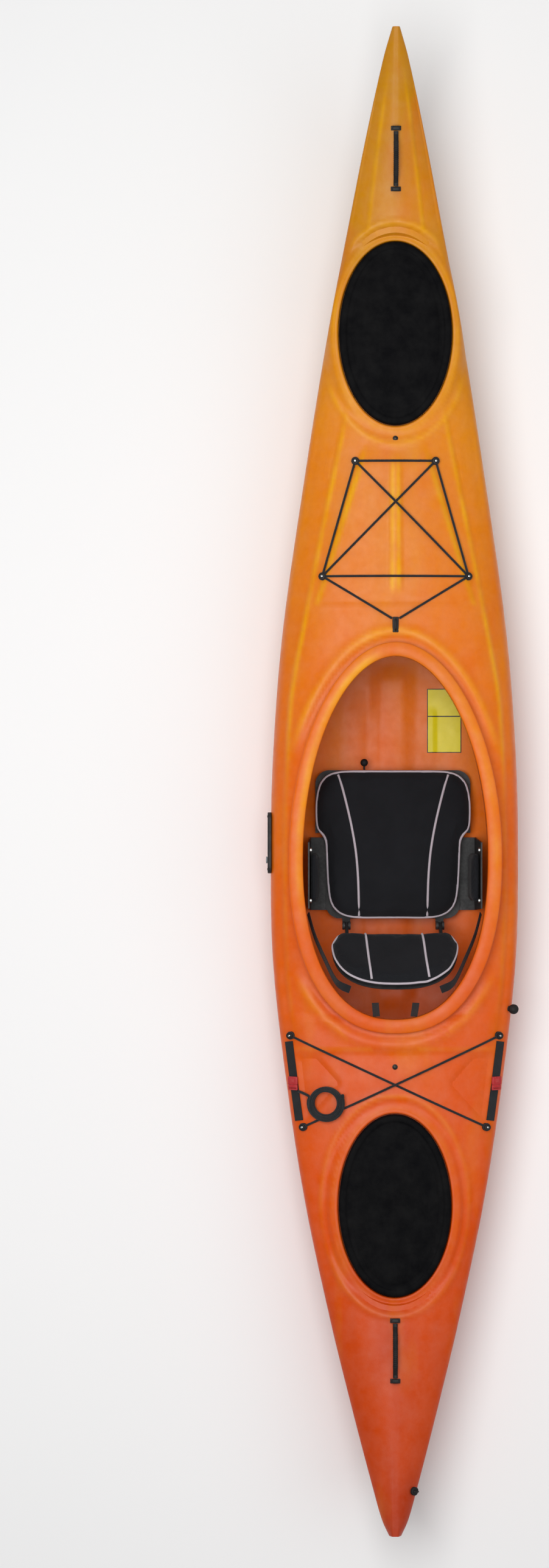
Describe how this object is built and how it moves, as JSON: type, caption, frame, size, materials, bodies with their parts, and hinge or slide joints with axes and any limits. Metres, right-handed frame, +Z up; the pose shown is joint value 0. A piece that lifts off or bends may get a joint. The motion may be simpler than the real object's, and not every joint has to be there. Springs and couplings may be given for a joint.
{
  "type": "kayak",
  "caption": "Day-touring kayak with padded folding-back seat, oval hatches with lift-off covers, drop skeg worked by a side slider, foot braces and deck bungees.",
  "frame": {"origin": "on the keel's flat, midships, on the centre plane", "axes": "+X to the bow, +Y to port, +Z up"},
  "size_m": [3.86, 0.6527, 0.384],
  "materials": {
    "orange_polyethylene": "semi-gloss rotomoulded polyethylene blended from golden yellow at the bow to red-orange at the stern",
    "bulkhead_plastic": "plain sheet",
    "hatch_rubber": "matte",
    "black_plastic": "fine moulded grain",
    "grey_plastic": "satin",
    "stainless_steel": "satin",
    "black_steel": "satin black",
    "seat_fabric": "woven, with pale piping",
    "webbing": "ribbed webbing",
    "rail_aluminium": "black anodised",
    "handle_rubber": "matte",
    "bungee_cord": "braided sheath over elastic",
    "red_plastic": "satin"
  },
  "bodies": {
    "hull": {"hull_shell": "orange_polyethylene", "bow_bulkhead": "bulkhead_plastic", "stern_bulkhead": "bulkhead_plastic", "skeg_box": "black_plastic", "skeg_pin": "stainless_steel", "skeg_conduit": "black_plastic", "slider_housing": "black_plastic", "seat_pan": "black_plastic", "seat_cushion": "seat_fabric", "seat_side_plates": "black_plastic", "seat_bolts": "stainless_steel", "hip_pad_port": "seat_fabric", "hip_pad_starboard": "seat_fabric", "seat_toggle": "black_plastic", "backrest_pins": "stainless_steel", "backrest_straps": "webbing", "foot_rail_port": "rail_aluminium", "foot_rail_starboard": "rail_aluminium", "foot_rail_screws": "black_steel", "bow_handle_anchors": "black_plastic", "stern_handle_anchors": "black_plastic", "foredeck_buttons": "black_plastic", "centre_pad_eye": "black_plastic", "aftdeck_buttons": "black_plastic", "fitting_screws": "stainless_steel", "front_bungee": "bungee_cord", "aft_bungee": "bungee_cord", "bulkhead_screws": "black_steel", "gunwale_strap_port": "webbing", "gunwale_strap_starboard": "webbing", "strap_buckles": "red_plastic", "strap_coil": "webbing", "deck_toggle": "black_plastic", "drain_seat": "black_plastic"},
    "bow_cover": {"bow_hatch_cover": "hatch_rubber"},
    "stern_cover": {"stern_hatch_cover": "hatch_rubber"},
    "skeg": {"skeg_blade": "black_plastic"},
    "skeg_slider": {"slider_knob": "grey_plastic"},
    "backrest": {"backrest_plate": "black_plastic", "backrest_pad": "seat_fabric"},
    "port_pedal": {"foot_pedal_port": "black_plastic"},
    "starboard_pedal": {"foot_pedal_starboard": "black_plastic"},
    "bow_carry_handle": {"bow_handle": "handle_rubber"},
    "stern_carry_handle": {"stern_handle": "handle_rubber"},
    "drain": {"drain_plug": "black_plastic"}
  },
  "joints": [
    {"name": "bow_cover_lift", "type": "slide", "parent": "hull", "child": "bow_cover", "axis": [0, 0, 1], "range_m": [0, 0.2]},
    {"name": "stern_cover_lift", "type": "slide", "parent": "hull", "child": "stern_cover", "axis": [0, 0, 1], "range_m": [0, 0.2]},
    {"name": "skeg_drop", "type": "hinge", "parent": "hull", "child": "skeg", "pos_m": [-1.2352, 0, 0.04206], "axis": [0, -1, 0], "range_deg": [0, 17]},
    {"name": "slider_travel", "type": "slide", "parent": "hull", "child": "skeg_slider", "axis": [1, 0, 0], "range_m": [0, 0.0882]},
    {"name": "backrest_fold", "type": "hinge", "parent": "hull", "child": "backrest", "pos_m": [-0.37, 0, 0.0963], "axis": [0, 1, 0], "range_deg": [0, 70], "deforming": ["backrest_straps"]},
    {"name": "port_pedal_slide", "type": "slide", "parent": "hull", "child": "port_pedal", "axis": [0.9864, -0.1643, 0], "range_m": [-0.13, 0.13]},
    {"name": "starboard_pedal_slide", "type": "slide", "parent": "hull", "child": "starboard_pedal", "axis": [0.9864, 0.1643, 0], "range_m": [-0.13, 0.13]},
    {"name": "bow_handle_swing", "type": "hinge", "parent": "hull", "child": "bow_carry_handle", "pos_m": [1.596, 0, 0.35893], "axis": [0.9897, 0, 0.1432], "range_deg": [-50, 50]},
    {"name": "stern_handle_swing", "type": "hinge", "parent": "hull", "child": "stern_carry_handle", "pos_m": [-1.455, 0, 0.2922], "axis": [0.9969, 0, -0.0789], "range_deg": [-50, 50]},
    {"name": "drain_plug_pull", "type": "slide", "parent": "hull", "child": "drain", "axis": [-0.082, -0.6715, 0.7364], "range_m": [0, 0.03]}
  ],
  "couplings": [
    {"joint": "slider_travel", "follows": "skeg_drop", "m_per_rad": 0.29659}
  ]
}
